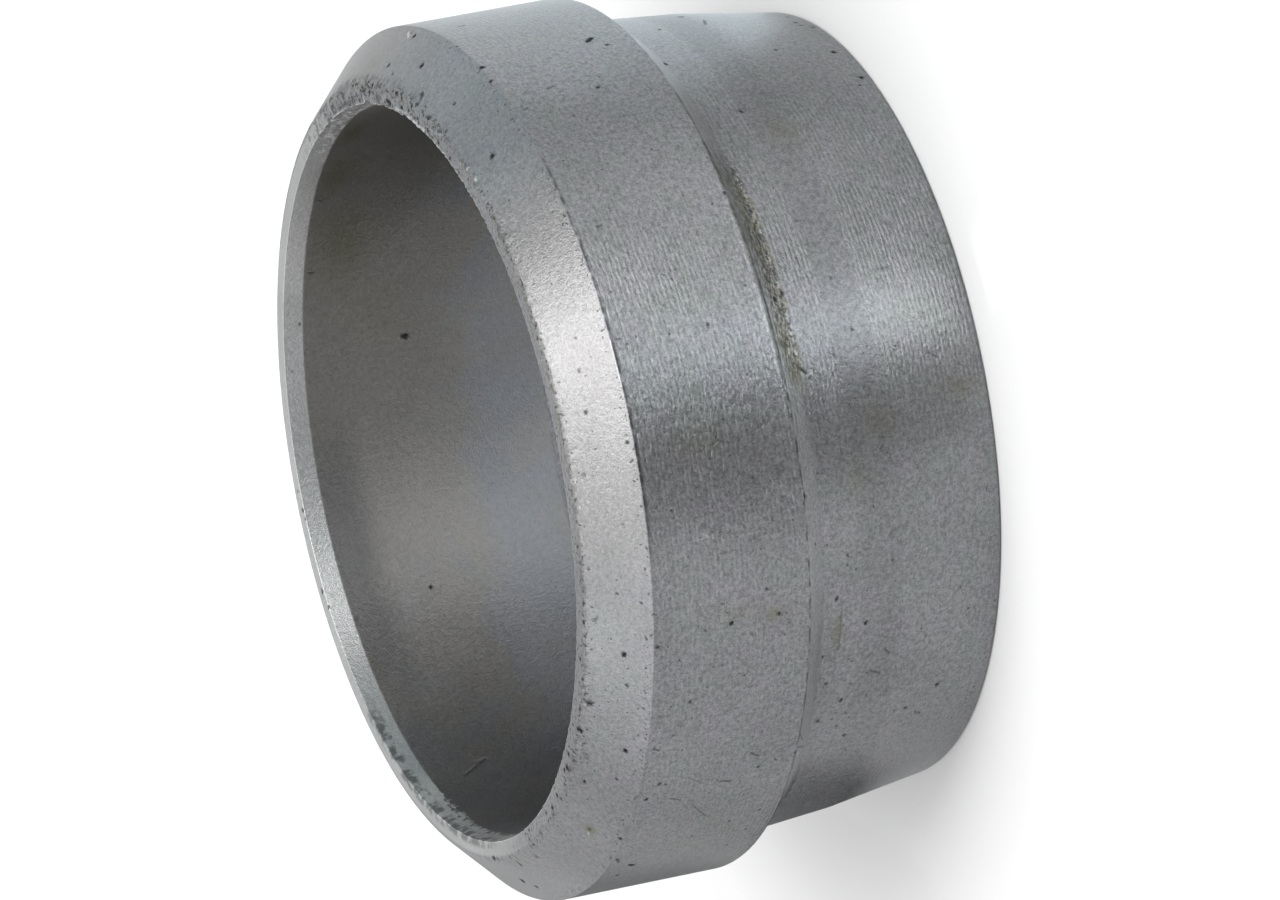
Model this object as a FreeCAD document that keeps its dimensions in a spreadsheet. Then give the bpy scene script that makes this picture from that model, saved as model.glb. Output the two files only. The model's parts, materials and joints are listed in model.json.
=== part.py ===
# Compression cutting ring for a 20 mm tube, turned from steel bar as one piece.
# The ring stands on its thin cutting end, with its axis on +Z. The thick end that the nut
# pushes on is at the top, and the tube passes through the bore. Sizes are in mm.
import FreeCAD, Part
import Sketcher
import os

# Driving sizes: name, value, what it measures.
SIZES = [
    ("tube_diameter", 20.0, "outside diameter of the tube"),
    ("tube_clearance", 0.1, "how much wider than the tube the bore is"),
    ("front_wall", 0.55, "wall at the cutting end, between bore and nose"),
    ("nose_length", 2.9, "steeper cone next to the cutting end"),
    ("nose_slope", 8.8, "slope of the nose to the axis, in degrees"),
    ("neck_length", 2.65, "flatter cone between nose and shoulder"),
    ("neck_slope", 5.0, "slope of the neck to the axis, in degrees"),
    ("shoulder_slope", 45.0, "slope of the step up to the collar, in degrees"),
    ("collar_wall", 2.0, "wall of the collar, between bore and outside"),
    ("collar_length", 5.9, "collar, from the crest of the shoulder to the rear face"),
    ("rear_chamfer", 1.4, "chamfer at 45 degrees that the nut's cone pushes on"),
    ("lead_in_depth", 0.54, "how far the rear lead-in reaches into the bore"),
    ("lead_in_width", 0.1, "how much the lead-in widens the bore's radius at its mouth"),
    ("edge_land", 0.5, "plain bore behind each of the two cutting edges"),
    ("relief_length", 1.5, "sloping relief that ends at the second cutting edge"),
    ("relief_depth", 0.25, "depth of the relief at the second cutting edge"),
    ("waist_length", 2.2, "shallow recess that lets the nose bow inwards"),
    ("waist_depth", 0.22, "depth of that recess"),
    ("waist_slope", 20.0, "slope of both ends of that recess, in degrees"),
    ("relief_root_radius", 0.1, "bottom of the relief"),
    ("shoulder_foot_radius", 0.3, "foot of the shoulder"),
    ("shoulder_crest_radius", 0.08, "broken edge at the crest of the shoulder"),
    ("nose_tip_radius", 0.15, "rounded outer edge of the cutting end"),
    ("chamfer_edge_radius", 0.05, "broken edge between chamfer and collar"),
    ("rear_edge_radius", 0.35, "rounded edge between rear face and chamfer"),
]

# Sizes that follow from those: name, formula, what it measures.
DERIVED_SIZES = [
    ("bore_radius", "(tube_diameter + tube_clearance) / 2",
     "guide bore"),
    ("front_radius", "bore_radius + front_wall",
     "outside of the cutting end"),
    ("bend_radius", "front_radius + nose_length * tan(nose_slope * 1 deg)",
     "outside where the nose meets the neck"),
    ("foot_radius", "bend_radius + neck_length * tan(neck_slope * 1 deg)",
     "outside of the neck at the foot of the shoulder"),
    ("foot_height", "nose_length + neck_length",
     "foot of the shoulder above the cutting end"),
    ("collar_radius", "bore_radius + collar_wall",
     "outside of the collar"),
    ("crest_height", "foot_height + (collar_radius - foot_radius) / tan(shoulder_slope * 1 deg)",
     "crest of the shoulder above the cutting end"),
    ("ring_length", "crest_height + collar_length",
     "whole ring"),
    ("lead_in_bottom", "ring_length - lead_in_depth",
     "where the lead-in meets the bore"),
    ("lead_in_radius", "bore_radius + lead_in_width",
     "mouth of the lead-in"),
    ("relief_top", "edge_land + relief_length",
     "second cutting edge above the first"),
    ("relief_radius", "bore_radius + relief_depth",
     "bottom of the relief"),
    ("waist_bottom", "relief_top + edge_land",
     "lower end of the recess"),
    ("waist_top", "waist_bottom + waist_length",
     "upper end of the recess"),
    ("waist_radius", "bore_radius + waist_depth",
     "bottom of the recess"),
    ("waist_run", "waist_depth / tan(waist_slope * 1 deg)",
     "length of each sloping end of the recess"),
    ("waist_floor_bottom", "waist_bottom + waist_run",
     "lower end of the recess's floor"),
    ("waist_floor_top", "waist_top - waist_run",
     "upper end of the recess's floor"),
    ("chamfer_radius", "collar_radius - rear_chamfer",
     "where the chamfer meets the rear face"),
    ("chamfer_height", "ring_length - rear_chamfer",
     "where the chamfer meets the collar"),
]

# The blank's outline, as cells for radius and height: up the outside from the cutting
# end, across the rear face and back down the bore.
BLANK = [
    ("bore_radius", None),
    ("front_radius", None),
    ("bend_radius", "nose_length"),
    ("foot_radius", "foot_height"),
    ("collar_radius", "crest_height"),
    ("collar_radius", "ring_length"),
    ("lead_in_radius", "ring_length"),
    ("bore_radius", "lead_in_bottom"),
]

# Relief between the cutting edges. Its square upper side is the face of the second edge.
RELIEF = [
    ("bore_radius", "edge_land"),
    ("relief_radius", "relief_top"),
    ("bore_radius", "relief_top"),
]

# Recess behind the second edge, where the wall is thinned so that the nose can bow.
WAIST = [
    ("bore_radius", "waist_bottom"),
    ("waist_radius", "waist_floor_bottom"),
    ("waist_radius", "waist_floor_top"),
    ("bore_radius", "waist_top"),
]

# Edges that are rounded: name, radius and height of the edge, radius of the rounding.
ROUNDED_EDGES = [
    ("RearEdge", "chamfer_radius", "ring_length", "rear_edge_radius"),
    ("ChamferEdge", "collar_radius", "chamfer_height", "chamfer_edge_radius"),
    ("ShoulderCrest", "collar_radius", "crest_height", "shoulder_crest_radius"),
    ("ShoulderFoot", "foot_radius", "foot_height", "shoulder_foot_radius"),
    ("ReliefRoot", "relief_radius", "relief_top", "relief_root_radius"),
    ("NoseTip", "front_radius", None, "nose_tip_radius"),
]

# The sketcher's numbers for its horizontal axis, which starts at the origin, and for the
# two ends of a line.
HORIZONTAL_AXIS = -1
START = 1
END = 2

# An edge counts as found when it is this close to where it should be.
MATCH = 1e-4

doc = FreeCAD.newDocument("CuttingRing")

sheet = doc.addObject("Spreadsheet::Sheet", "Sizes")
for row, (name, value, meaning) in enumerate(SIZES, start=1):
    sheet.set(f"A{row}", name)
    sheet.set(f"B{row}", str(value))
    sheet.setAlias(f"B{row}", name)
    sheet.set(f"C{row}", meaning)
for row, (name, formula, meaning) in enumerate(DERIVED_SIZES, start=len(SIZES) + 2):
    sheet.set(f"A{row}", name)
    sheet.set(f"B{row}", "=" + formula)
    sheet.setAlias(f"B{row}", name)
    sheet.set(f"C{row}", meaning)
doc.recompute()


def size(cell):
    """Value of a cell of the sheet; no cell means the level of the cutting end."""
    return 0.0 if cell is None else float(sheet.get(cell))


def hold(sketch, direction, line, cell):
    """Ties the distance from the origin to the start of a line to a cell."""
    points = (HORIZONTAL_AXIS, START, line, START)
    index = sketch.addConstraint(Sketcher.Constraint(direction, *points, size(cell)))
    label = f"{cell}_{line + 1}"
    sketch.renameConstraint(index, label)
    sketch.setExpression("Constraints." + label, "Sizes." + cell)


def half_section(body, name, outline):
    """Sketch in a plane through the axis, with each corner of the outline held by cells."""
    plane = next(item for item in body.Origin.OriginFeatures if item.Role == "XZ_Plane")
    sketch = body.newObject("Sketcher::SketchObject", name)
    sketch.AttachmentSupport = [(plane, "")]
    sketch.MapMode = "FlatFace"
    corners = [FreeCAD.Vector(size(radius), size(height), 0) for radius, height in outline]
    for line, corner in enumerate(corners):
        next_corner = corners[(line + 1) % len(corners)]
        sketch.addGeometry(Part.LineSegment(corner, next_corner), False)
    for line, (radius, height) in enumerate(outline):
        next_line = (line + 1) % len(outline)
        sketch.addConstraint(Sketcher.Constraint("Coincident", line, END, next_line, START))
        hold(sketch, "DistanceX", line, radius)
        if height is None:
            on_axis = Sketcher.Constraint("PointOnObject", line, START, HORIZONTAL_AXIS)
            sketch.addConstraint(on_axis)
        else:
            hold(sketch, "DistanceY", line, height)
    return sketch


def turned(body, kind, name, sketch):
    """Revolution or groove of a half section round the ring's axis."""
    feature = body.newObject("PartDesign::" + kind, name)
    feature.Profile = sketch
    feature.ReferenceAxis = (sketch, ["V_Axis"])
    feature.Angle = 360
    doc.recompute()
    return feature


def edge_at(shape, radius, height):
    """Name of the circular edge of shape with that radius, at that height."""
    for number, edge in enumerate(shape.Edges, start=1):
        if not isinstance(edge.Curve, Part.Circle):
            continue
        off_radius = abs(edge.Curve.Radius - size(radius))
        off_height = abs(edge.Curve.Center.z - size(height))
        if max(off_radius, off_height) < MATCH:
            return f"Edge{number}"
    raise RuntimeError(f"no edge at {radius}, {height}")


body = doc.addObject("PartDesign::Body", "cutting_ring")
body.Label = "cutting_ring"

# The blank, turned and bored, with its two cones, its shoulder and its lead-in.
blank_sketch = half_section(body, "BlankSection", BLANK)
blank = turned(body, "Revolution", "Blank", blank_sketch)

# The two recesses, cut from inside.
relief_sketch = half_section(body, "ReliefSection", RELIEF)
relief = turned(body, "Groove", "Relief", relief_sketch)
waist_sketch = half_section(body, "WaistSection", WAIST)
waist = turned(body, "Groove", "Waist", waist_sketch)

# The rear chamfer, at 45 degrees.
chamfer = body.newObject("PartDesign::Chamfer", "RearChamfer")
chamfer.Base = (waist, [edge_at(waist.Shape, "collar_radius", "ring_length")])
chamfer.setExpression("Size", "Sizes.rear_chamfer")
doc.recompute()

# The rounded edges. The cutting edges, at the bore, stay sharp.
finished = chamfer
for name, radius, height, rounding in ROUNDED_EDGES:
    fillet = body.newObject("PartDesign::Fillet", name)
    fillet.Base = (finished, [edge_at(finished.Shape, radius, height)])
    fillet.setExpression("Radius", "Sizes." + rounding)
    doc.recompute()
    finished = fillet

body.Placement = FreeCAD.Placement()
doc.recompute()

for item in doc.Objects:
    if "Invalid" in item.State or "Error" in item.State:
        raise RuntimeError(f"{item.Name}: {item.State}")
if blank.Shape.Volume <= relief.Shape.Volume or relief.Shape.Volume <= waist.Shape.Volume:
    raise RuntimeError("a recess cuts nothing")
shape = body.Shape
if shape.isNull() or not shape.isValid() or len(shape.Solids) != 1:
    raise RuntimeError("the ring isn't one valid solid")

os.makedirs("parts", exist_ok=True)
shape.exportStep(f"parts/{body.Label}.step")
print(f"volume {shape.Volume:.1f} mm3, length {shape.BoundBox.ZLength:.2f} mm")
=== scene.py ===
import json
import math
import random

import bmesh
import bpy
from mathutils import Matrix, Vector
from mathutils.geometry import intersect_point_line
from mathutils.kdtree import KDTree
from mathutils.noise import noise as noise_at


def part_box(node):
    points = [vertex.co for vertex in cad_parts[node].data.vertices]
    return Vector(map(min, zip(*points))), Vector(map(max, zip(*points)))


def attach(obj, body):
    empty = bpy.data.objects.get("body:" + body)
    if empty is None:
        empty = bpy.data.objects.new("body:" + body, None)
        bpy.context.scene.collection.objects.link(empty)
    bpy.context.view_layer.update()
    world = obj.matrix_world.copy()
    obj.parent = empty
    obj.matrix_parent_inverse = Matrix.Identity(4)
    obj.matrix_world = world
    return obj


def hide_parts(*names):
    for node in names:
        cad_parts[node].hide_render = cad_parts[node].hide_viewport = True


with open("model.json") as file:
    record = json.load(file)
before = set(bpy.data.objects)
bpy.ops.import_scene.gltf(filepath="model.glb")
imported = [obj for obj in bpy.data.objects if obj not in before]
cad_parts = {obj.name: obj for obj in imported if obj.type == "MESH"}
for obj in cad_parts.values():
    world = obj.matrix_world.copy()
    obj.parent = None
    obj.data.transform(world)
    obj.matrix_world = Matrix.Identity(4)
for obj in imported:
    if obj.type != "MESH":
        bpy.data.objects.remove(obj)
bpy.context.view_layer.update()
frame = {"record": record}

# The ring
#
# One piece, turned from steel bar: a thick collar with a 45 degree chamfer at the rear,
# a shoulder, and a neck and a nose that taper to the thin cutting end it stands on.
# Its sizes are in mm, and its mesh is in metres.
MM = 0.001
RING = "cutting_ring"

ring_low, ring_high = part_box(RING)
tube_bore = next(m for m in frame["record"]["mounts"] if m["name"] == "tube_bore")

bore_radius = tube_bore["dims"]["r_mm"]
ring_length = (ring_high[2] - ring_low[2]) / MM
front_wall = 0.55
nose_length = 2.9
nose_slope = math.radians(8.8)
neck_length = 2.65
neck_slope = math.radians(5.0)
collar_wall = 2.0
collar_length = 5.9
rear_chamfer = 1.4
lead_in_depth = 0.54
lead_in_width = 0.1
edge_land = 0.5
relief_length = 1.5
relief_depth = 0.25
waist_length = 2.2
waist_depth = 0.22
waist_slope = math.radians(20.0)
nose_tip_radius = 0.15
bend_rounding = 3.0
shoulder_foot_radius = 0.3
shoulder_crest_radius = 0.08
chamfer_edge_radius = 0.05
rear_edge_radius = 0.35
lead_in_edge_radius = 0.1
relief_root_radius = 0.1

front_radius = bore_radius + front_wall
bend_radius = front_radius + nose_length * math.tan(nose_slope)
foot_radius = bend_radius + neck_length * math.tan(neck_slope)
foot_height = nose_length + neck_length
collar_radius = bore_radius + collar_wall
crest_height = ring_length - collar_length
chamfer_radius = collar_radius - rear_chamfer
chamfer_height = ring_length - rear_chamfer
lead_in_radius = bore_radius + lead_in_width
lead_in_bottom = ring_length - lead_in_depth
relief_top = edge_land + relief_length
waist_bottom = relief_top + edge_land
waist_top = waist_bottom + waist_length
waist_run = waist_depth / math.tan(waist_slope)

# Corners of the ring's section: radius, height, rounding, and how far apart the points
# may lie on the way to the next corner. SHARP is the rounding of a sharp edge.
SHARP = 0.015
FRONT_STEP = 0.2
OUTSIDE_STEP = 0.36
SHOULDER_STEP = 0.15
RIM_STEP = 0.08
LEAD_IN_STEP = 0.09
BORE_STEP = 0.45
HIDDEN_STEP = 1.0
OUTSIDE = [
    (bore_radius, 0, SHARP, FRONT_STEP),
    (front_radius, 0, nose_tip_radius, OUTSIDE_STEP),
    (bend_radius, nose_length, bend_rounding, OUTSIDE_STEP),
    (foot_radius, foot_height, shoulder_foot_radius, SHOULDER_STEP),
    (collar_radius, crest_height, shoulder_crest_radius, OUTSIDE_STEP),
    (collar_radius, chamfer_height, chamfer_edge_radius, OUTSIDE_STEP),
    (chamfer_radius, ring_length, rear_edge_radius, RIM_STEP),
]
INSIDE = [
    (lead_in_radius, ring_length, SHARP, LEAD_IN_STEP),
    (bore_radius, lead_in_bottom, lead_in_edge_radius, BORE_STEP),
    (bore_radius, waist_top, SHARP, HIDDEN_STEP),
    (bore_radius + waist_depth, waist_top - waist_run, SHARP, HIDDEN_STEP),
    (bore_radius + waist_depth, waist_bottom + waist_run, SHARP, HIDDEN_STEP),
    (bore_radius, waist_bottom, SHARP, HIDDEN_STEP),
    (bore_radius, relief_top, SHARP, HIDDEN_STEP),
    (bore_radius + relief_depth, relief_top, relief_root_radius, HIDDEN_STEP),
    (bore_radius, edge_land, SHARP, HIDDEN_STEP),
]


def section_points(corners):
    """Points of a closed outline with its corners rounded as arcs, in mm."""
    arcs = []
    for index, (radius, height, rounding, _) in enumerate(corners):
        corner = Vector((radius, height))
        before = Vector(corners[index - 1][:2]) - corner
        after = Vector(corners[(index + 1) % len(corners)][:2]) - corner
        before.normalize()
        after.normalize()
        half = before.angle(after) / 2
        reach = rounding / math.tan(half)
        centre = corner + (before + after).normalized() * rounding / math.sin(half)
        start = corner + before * reach - centre
        turn = start.angle_signed(corner + after * reach - centre)
        steps = 2 if rounding == SHARP else 5
        turned = [Matrix.Rotation(-turn * step / steps, 2) @ start for step in range(steps + 1)]
        arc = [centre + point for point in turned]
        if rounding == SHARP and height > waist_bottom:
            # Points close beside the edge keep its shading crisp where it is seen.
            arc = [arc[0] + before * SHARP] + arc + [arc[-1] + after * SHARP]
        arcs.append(arc)
    points = []
    for index, (_, _, _, spacing) in enumerate(corners):
        last = arcs[index][-1]
        following = arcs[(index + 1) % len(corners)][0]
        pieces = math.ceil((following - last).length / spacing)
        points += arcs[index]
        points += [last.lerp(following, k / pieces) for k in range(1, pieces)]
    return points


def add(tree, kind, settings=None, **links):
    """Adds a node: settings go on the node, links and values on its inputs."""
    node = tree.nodes.new(kind)
    for name, value in (settings or {}).items():
        setattr(node, name, value)
    for name, value in links.items():
        by_number = name[1:].isdigit()
        socket = node.inputs[int(name[1:]) if by_number else name.replace("_", " ")]
        if isinstance(value, bpy.types.NodeSocket):
            tree.links.new(value, socket)
        else:
            socket.default_value = value
    return node


def linear(hex_colour):
    """Linear colour of an sRGB hex value such as 8A8C8F."""
    channels = [int(hex_colour[k:k + 2], 16) / 255 for k in (0, 2, 4)]
    return [c / 12.92 if c <= 0.04045 else ((c + 0.055) / 1.055) ** 2.4 for c in channels] + [1]


def on_ring(angle, radius, height):
    """Point of the ring. The angle is in degrees from the camera's side, minus towards +X."""
    a = math.radians(angle)
    return Vector((-math.sin(a) * radius, -math.cos(a) * radius, height)) * MM


# Bare turned steel, dulled by a thin grey skin. Feed marks run round it, so its
# reflections stretch along the axis. Grain, pits and stains come on top.
steel = bpy.data.materials.new("turned_steel")
steel.use_nodes = True
nodes = steel.node_tree
nodes.nodes.clear()

MATHS = "ShaderNodeMath"
SUM = {"operation": "ADD"}
LARGER = {"operation": "MAXIMUM"}

place = add(nodes, "ShaderNodeTexCoord").outputs["Object"]
position = add(nodes, "ShaderNodeVectorMath", {"operation": "SCALE"}, Vector=place, Scale=1 / MM).outputs[0]
along = add(nodes, "ShaderNodeSeparateXYZ", Vector=position).outputs
height = along["Z"]
flat = add(nodes, "ShaderNodeCombineXYZ", X=along["X"], Y=along["Y"]).outputs[0]
radius = add(nodes, "ShaderNodeVectorMath", {"operation": "LENGTH"}, Vector=flat).outputs["Value"]
angle = add(nodes, MATHS, {"operation": "ARCTAN2"}, i0=along["Y"], i1=along["X"]).outputs[0]


def product(first, *others):
    """Product of several masks or numbers."""
    for other in others:
        first = add(nodes, MATHS, {"operation": "MULTIPLY"}, i0=first, i1=other).outputs[0]
    return first


def all_but(mask, share=1.0):
    """What a mask leaves: all where it is 0, and less by that share where it is 1."""
    return add(nodes, MATHS, {"operation": "MULTIPLY_ADD"}, i0=mask, i1=-share, i2=1.0).outputs[0]


def band(value, *limits, low=0.0, high=1.0):
    """Smooth change from low to high between two limits, and back to 0 between two more."""
    links = {"Value": value, "From_Min": limits[0], "From_Max": limits[1], "To_Min": low, "To_Max": high}
    rise = add(nodes, "ShaderNodeMapRange", {"interpolation_type": "SMOOTHSTEP"}, **links).outputs[0]
    return rise if len(limits) == 2 else product(rise, band(value, limits[3], limits[2]))


def lumps(size, detail=2.0, roughness=0.5, seed=0.0, stretch=1.0):
    """Lumps of about that size in mm, from 0 to 1, stretched round the ring."""
    spread_out = (1 / stretch, 1 / stretch, 1)
    shifted = add(
        nodes, "ShaderNodeVectorMath", {"operation": "MULTIPLY_ADD"},
        i0=position, i1=spread_out, i2=(seed, seed, seed),
    ).outputs[0]
    links = {"Vector": shifted, "Scale": 1 / size, "Detail": detail, "Roughness": roughness}
    return add(nodes, "ShaderNodeTexNoise", **links).outputs[0]


def towards(angle_there, *limits):
    """Cosine of the angle from that direction round the ring, or a band of it."""
    there = on_ring(angle_there, 1, 0) / MM
    across = add(nodes, "ShaderNodeVectorMath", {"operation": "DOT_PRODUCT"}, i0=flat, i1=there)
    cosine = add(nodes, MATHS, {"operation": "DIVIDE"}, i0=across.outputs["Value"], i1=radius).outputs[0]
    return band(cosine, *limits) if limits else cosine


def coat(colour, other, *masks):
    """Colour with another over it, as much as the product of the masks."""
    above = linear(other) if isinstance(other, str) else other
    mixed = add(nodes, "ShaderNodeMix", {"data_type": "RGBA"}, i0=product(*masks), i6=colour, i7=above)
    return mixed.outputs[2]


# Where each finish lies, from the bore outwards.
in_bore = band(radius, bore_radius + 0.03, bore_radius + 0.01)
out_of_bore = band(radius, bore_radius + 0.3, bore_radius + 0.5)
above_collar = band(height, chamfer_height - 0.02, chamfer_height + 0.08)
on_chamfer = product(above_collar, out_of_bore)

# Sides of the ring: the one where the highlight falls, the half round it and the half away
# from it, then the uppermost one in the camera's view and the one low on the far side.
highlight_cosine = towards(-12)
on_highlight_side = band(highlight_cosine, 0.82, 0.97, low=0.15)
facing = band(highlight_cosine, -0.1, 0.2)
far_side = band(highlight_cosine, 0.1, -0.3)
top = towards(-85, 0.8, 0.95)
low_side = towards(118, 0.87, 0.94)

# The bright lead-in, whose lower edge is frayed on the far side.
frays = band(lumps(0.2, detail=3.0, roughness=0.6, seed=53.0), 0.3, 0.7, low=-0.22, high=0.12)
frays = product(frays, towards(103, 0.94, 0.98))
frayed = add(nodes, MATHS, SUM, i0=height, i1=frays).outputs[0]
near_rear = band(frayed, lead_in_bottom - 0.05, lead_in_bottom + 0.03)
lead_in = product(near_rear, band(radius, lead_in_radius + 0.03, lead_in_radius + 0.01))

# The rim's face, and its edge with the chamfer.
on_rim = product(
    band(height, ring_length - 0.3, ring_length - 0.12),
    band(radius, chamfer_radius - 0.03, chamfer_radius - 0.15),
)
rim_edge = product(
    band(
        radius, chamfer_radius - 0.15, chamfer_radius - 0.05,
        chamfer_radius + 0.01, chamfer_radius + 0.13,
    ),
    band(height, ring_length - 0.62, ring_length - 0.42),
)
far_rim = add(nodes, MATHS, LARGER, i0=lead_in, i1=product(on_rim, far_side)).outputs[0]
pale_or_bore = add(nodes, MATHS, LARGER, i0=in_bore, i1=far_rim).outputs[0]

# A band of the neck is plain. Elsewhere the outside shows feed marks, strongest along the
# side where the highlight falls, which lies a little further round on the nose than on the
# collar. There their lines in the colour are partly painted sheen.
plain_band = band(
    height, nose_length + 0.1, nose_length + 0.45, foot_height - 1.35, foot_height - 1.05,
)
on_collar = band(towards(-3), 0.87, 0.97, low=0.25, high=0.8)
on_nose = band(towards(-22), 0.84, 0.96, low=0.25)
feed_marks_and_sheen_side = add(
    nodes, "ShaderNodeMix", {"data_type": "FLOAT"},
    i0=band(height, crest_height - 0.12, crest_height + 0.08), i2=on_nose, i3=on_collar,
).outputs[0]
turned_band = product(
    band(height, chamfer_height - 0.02, chamfer_height - 0.12), all_but(plain_band), out_of_bore,
    band(lumps(2.5), 0.25, 0.6, low=0.5), feed_marks_and_sheen_side,
)
plain_band = product(plain_band, out_of_bore)

# Feed marks: a helix of fine grooves, one turn every 0.14 mm, with torn streaks.
FEED = 0.14
FEED_DEPTH = 0.008
turns = add(nodes, MATHS, SUM, i0=product(height, 2 * math.pi / FEED), i1=angle).outputs[0]
wandering = add(nodes, MATHS, SUM, i0=turns, i1=product(lumps(0.4), 6.0)).outputs[0]
helix = add(nodes, MATHS, {"operation": "SINE"}, i0=wandering).outputs[0]
broken_up = band(lumps(0.16, detail=1.0, seed=3.0), 0.35, 0.62, low=0.2)
streaks = band(lumps(0.07, roughness=0.6, seed=17.0, stretch=4.0), 0.3, 0.7, low=-1.0)
groove = add(
    nodes, MATHS, SUM,
    i0=product(helix, turned_band, broken_up), i1=product(streaks, turned_band, 0.6),
).outputs[0]
feed_marks = add(nodes, "ShaderNodeBump", Height=groove, Distance=FEED_DEPTH * MM)

# Grain: fine mottling in two sizes, felt in the light and seen in the colour. The chamfer
# is smoother low on the far side.
GRAIN_DEPTH = 0.014
coarse = lumps(0.12, roughness=0.6)
fine = lumps(0.05, roughness=0.7, seed=11.0)
mottle = add(nodes, MATHS, SUM, i0=product(coarse, 0.6), i1=product(fine, 0.6)).outputs[0]
low_chamfer = product(
    low_side, out_of_bore, band(height, chamfer_height - 0.07, chamfer_height + 0.08),
)
calm = all_but(low_chamfer, 0.7)
grain = add(
    nodes, "ShaderNodeBump",
    Strength=calm, Height=mottle, Distance=GRAIN_DEPTH * MM, Normal=feed_marks.outputs[0],
)

# The skin's colour: grey in soft patches.
colour = coat(linear("828585"), "858589", band(lumps(0.9, detail=3.0, roughness=0.6, seed=23.0), 0.3, 0.7))

# The bore is warmer towards its rear and on one side, and darker near its mouth on the far side: painted
# shade.
higher = band(height, waist_top + 0.8, waist_top + 4.8, low=-1.4, high=0.4)
clouded = band(lumps(1.5, seed=29.0), 0.3, 0.7, low=-0.7, high=0.7)
warmth = add(nodes, MATHS, SUM, i0=towards(222), i1=higher).outputs[0]
warmth = add(nodes, MATHS, SUM, i0=warmth, i1=clouded).outputs[0]
bore_colour = coat(linear("85878B"), "898784", band(warmth, -1.3, 1.0))
# Painted shade near the bore's mouth, on the far side.
painted_shade_near_mouth = product(band(height, ring_length - 2.32, ring_length - 1.22), towards(168, 0.9, 0.985))
bore_colour = coat(bore_colour, "5E5F60", painted_shade_near_mouth, 0.6)
colour = coat(colour, bore_colour, in_bore)

# Lighter: a painted highlight tint on the chamfer where its highlight falls, a painted
# reflection on the rim's far side and the lead-in, and the shoulder towards the camera, with a
# painted highlight along its crest. The plain band is darker all round, and more so as
# painted shade where the highlight crosses it.
# Painted highlight tint: the chamfer is lighter and neutral where its highlight falls.
colour = coat(colour, "868585", on_chamfer, on_highlight_side)
# Painted reflection: the rim's far side and the lead-in are lighter.
colour = coat(colour, "ABADAD", far_rim)
# The lead-in palest on two sides, as painted reflection.
palest = add(
    nodes, MATHS, LARGER,
    i0=towards(103, 0.9, 0.96), i1=product(towards(240, 0.85, 0.95), 0.4),
).outputs[0]
colour = coat(colour, "D5D4D3", lead_in, palest, 0.75)
on_shoulder = product(
    band(height, foot_height - 0.05, foot_height + 0.15, crest_height - 0.07, crest_height + 0.03),
    out_of_bore, towards(5, 0.86, 0.97),
)
colour = coat(colour, "9FA1A3", on_shoulder)
# Painted highlight along the shoulder's crest, on the highlight side.
painted_crest_highlight = product(
    band(height, crest_height + 0.06, crest_height + 0.09, crest_height + 0.12, crest_height + 0.18),
    out_of_bore, band(highlight_cosine, 0.94, 0.98), band(lumps(0.2, roughness=0.6, seed=37.0), 0.4, 0.6),
)
colour = coat(colour, "C4C6C8", painted_crest_highlight, 0.25)
# The plain band darker all round, and more so as painted shade where the highlight crosses it.
colour = coat(colour, "737477", plain_band, band(highlight_cosine, 0.93, 0.99, low=0.22, high=0.5))

# The grain and the feed marks darken and lighten all of it, less in the bore, on the pale
# rim and on the chamfer.
contrast = product(
    all_but(pale_or_bore, 0.72),
    band(height, chamfer_height - 0.07, chamfer_height + 0.03, low=1.0, high=0.75), calm,
)
spread = product(band(mottle, 0.35, 0.85, low=-0.36, high=0.36), contrast)
# The feed marks in the colour: real grooves all round, and painted sheen where they are strongest, on the
# highlight side.
spread = add(nodes, MATHS, SUM, i0=spread, i1=product(groove, 0.14)).outputs[0]
spread = add(nodes, MATHS, SUM, i0=spread, i1=1.0).outputs[0]
shade = product(spread, band(lumps(3.0, detail=3.0), 0.3, 0.7, low=0.94, high=1.06))

# Fine pits, thicker along both edges of the chamfer. The noise is a pit where it falls
# below PIT_LEVEL.
PIT_LEVEL = 0.265
PIT_SHARPNESS = 25.0
edges = add(
    nodes, MATHS, LARGER,
    i0=band(radius, chamfer_radius + 0.3, chamfer_radius + 0.05),
    i1=band(radius, collar_radius - 0.3, collar_radius - 0.05),
).outputs[0]
edges = product(edges, above_collar)
pits_here = add(nodes, MATHS, SUM, i0=product(edges, 0.1), i1=PIT_LEVEL).outputs[0]
pits_here = add(nodes, MATHS, SUM, i0=pits_here, i1=product(towards(50, 0.8, 0.95), 0.02)).outputs[0]
below = add(nodes, MATHS, {"operation": "SUBTRACT"}, i0=pits_here, i1=lumps(0.11, detail=1.0, seed=31.0))
specks = add(
    nodes, MATHS, {"operation": "MULTIPLY", "use_clamp": True},
    i0=below.outputs[0], i1=PIT_SHARPNESS,
).outputs[0]
specks = product(specks, band(pale_or_bore, 0.0, 1.0, low=1.0, high=0.1), calm)
shade = product(shade, all_but(specks, 0.6))
colour = add(nodes, "ShaderNodeVectorMath", {"operation": "SCALE"}, Vector=colour, Scale=shade).outputs[0]

# Marks that the mesh carries at its vertices.
stained = add(nodes, "ShaderNodeAttribute", {"attribute_name": "stain"}).outputs["Fac"]
dirty = add(nodes, "ShaderNodeAttribute", {"attribute_name": "dirt"}).outputs["Fac"]
bright = add(nodes, "ShaderNodeAttribute", {"attribute_name": "bright"}).outputs["Fac"]
colour = coat(colour, "6B6848", stained)

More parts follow.
